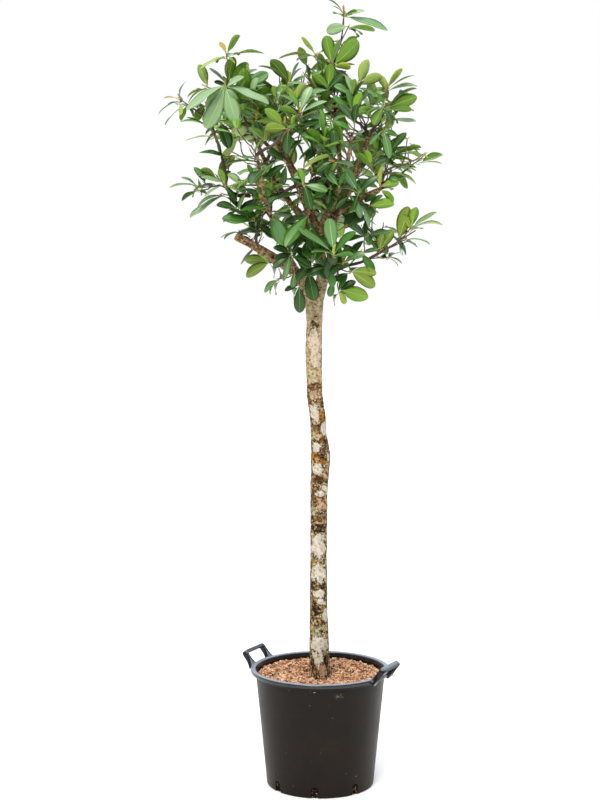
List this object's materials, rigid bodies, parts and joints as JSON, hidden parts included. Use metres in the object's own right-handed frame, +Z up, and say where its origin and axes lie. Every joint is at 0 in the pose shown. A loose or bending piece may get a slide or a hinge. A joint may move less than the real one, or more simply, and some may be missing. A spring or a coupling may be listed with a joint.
{
  "type": "standard ornamental fig tree in a nursery pot",
  "caption": "Evergreen fig grown as a standard: a loose round leafy crown on a tall clear lichened stem, in a round black handled nursery pot filled with coarse bark compost.",
  "frame": {"origin": "centre of the pot's flat underside, on the surface that it stands on", "axes": "+Z up along the stem, +Y away from the front view and +X to its right"},
  "size_m": [0.9415, 0.8619, 2.5047],
  "materials": {
    "pot_plastic": "charcoal injection-moulded plastic, satin, lightly scuffed",
    "soil": "coarse tan bark and coir chips, dry",
    "bark": "smooth young bark, mottled with cream lichen, moss and brown scars",
    "foliage": "leathery dark green leaves with a satin upper side"
  },
  "bodies": {
    "root": {"bough_back_left": "bark", "bough_back_right": "bark", "bough_centre": "bark", "bough_front_left": "bark", "bough_front_right": "bark", "bough_left": "bark", "bough_left_high": "bark", "bough_left_mid": "bark", "bough_right": "bark", "bough_right_low": "bark", "bough_right_stub": "bark", "bough_right_upper": "bark", "bough_top": "bark", "bough_upper_left": "bark", "bough_upper_right": "bark", "handle_left": "pot_plastic", "handle_right": "pot_plastic", "leaves_back_left": "foliage", "leaves_back_low": "foliage", "leaves_back_right": "foliage", "leaves_back_top": "foliage", "leaves_centre": "foliage", "leaves_centre_low": "foliage", "leaves_centre_upper": "foliage", "leaves_far_left": "foliage", "leaves_front_left": "foliage", "leaves_front_right": "foliage", "leaves_front_top": "foliage", "leaves_left_crook": "foliage", "leaves_left_inner": "foliage", "leaves_left_low": "foliage", "leaves_left_mid": "foliage", "leaves_left_top": "foliage", "leaves_left_upper": "foliage", "leaves_mid_upper": "foliage", "leaves_right_centre": "foliage", "leaves_right_inner_low": "foliage", "leaves_right_low": "foliage", "leaves_right_mid": "foliage", "leaves_right_upper": "foliage", "leaves_top": "foliage", "leaves_top_shoot": "foliage", "leaves_under_front": "foliage", "leaves_under_left": "foliage", "leaves_under_right": "foliage", "pot": "pot_plastic", "shoot_top": "bark", "soil": "soil", "trunk": "bark"}
  },
  "joints": []
}
